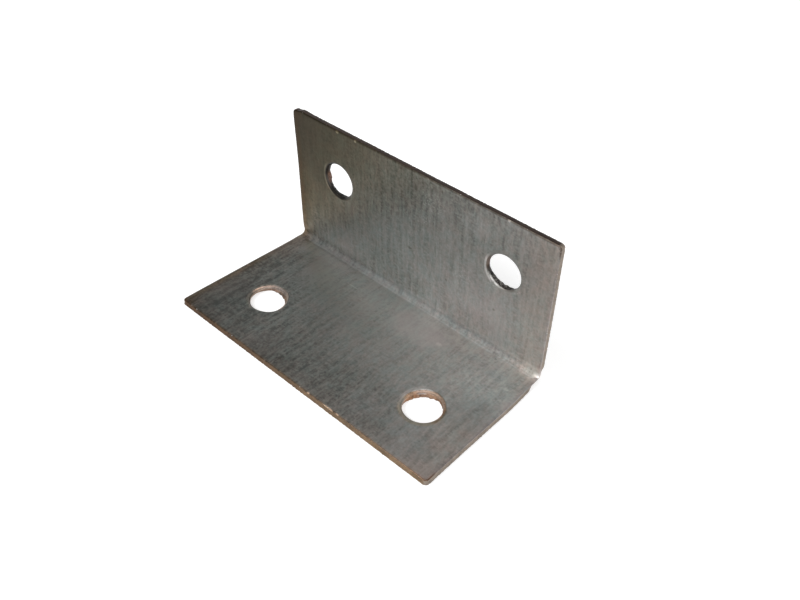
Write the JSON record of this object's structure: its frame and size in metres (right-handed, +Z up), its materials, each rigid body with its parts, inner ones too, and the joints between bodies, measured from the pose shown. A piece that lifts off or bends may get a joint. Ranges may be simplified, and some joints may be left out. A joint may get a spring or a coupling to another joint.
{
  "type": "angle bracket",
  "caption": "Folded sheet-steel angle bracket with a pair of punched screw holes in each flange and a mill-grained, unpainted finish.",
  "frame": {"origin": "middle of the footprint, on the underside of the base flange", "axes": "+X along the bend, +Y from the base's free edge to the back of the wall flange, +Z up along the wall flange"},
  "size_m": [0.06, 0.03, 0.0293],
  "materials": {
    "mill_steel": "bare mill steel with a fine grain along the strip, dull and lightly scuffed, with brown sheared edges"
  },
  "bodies": {
    "root": {"bracket": "mill_steel"}
  },
  "joints": []
}
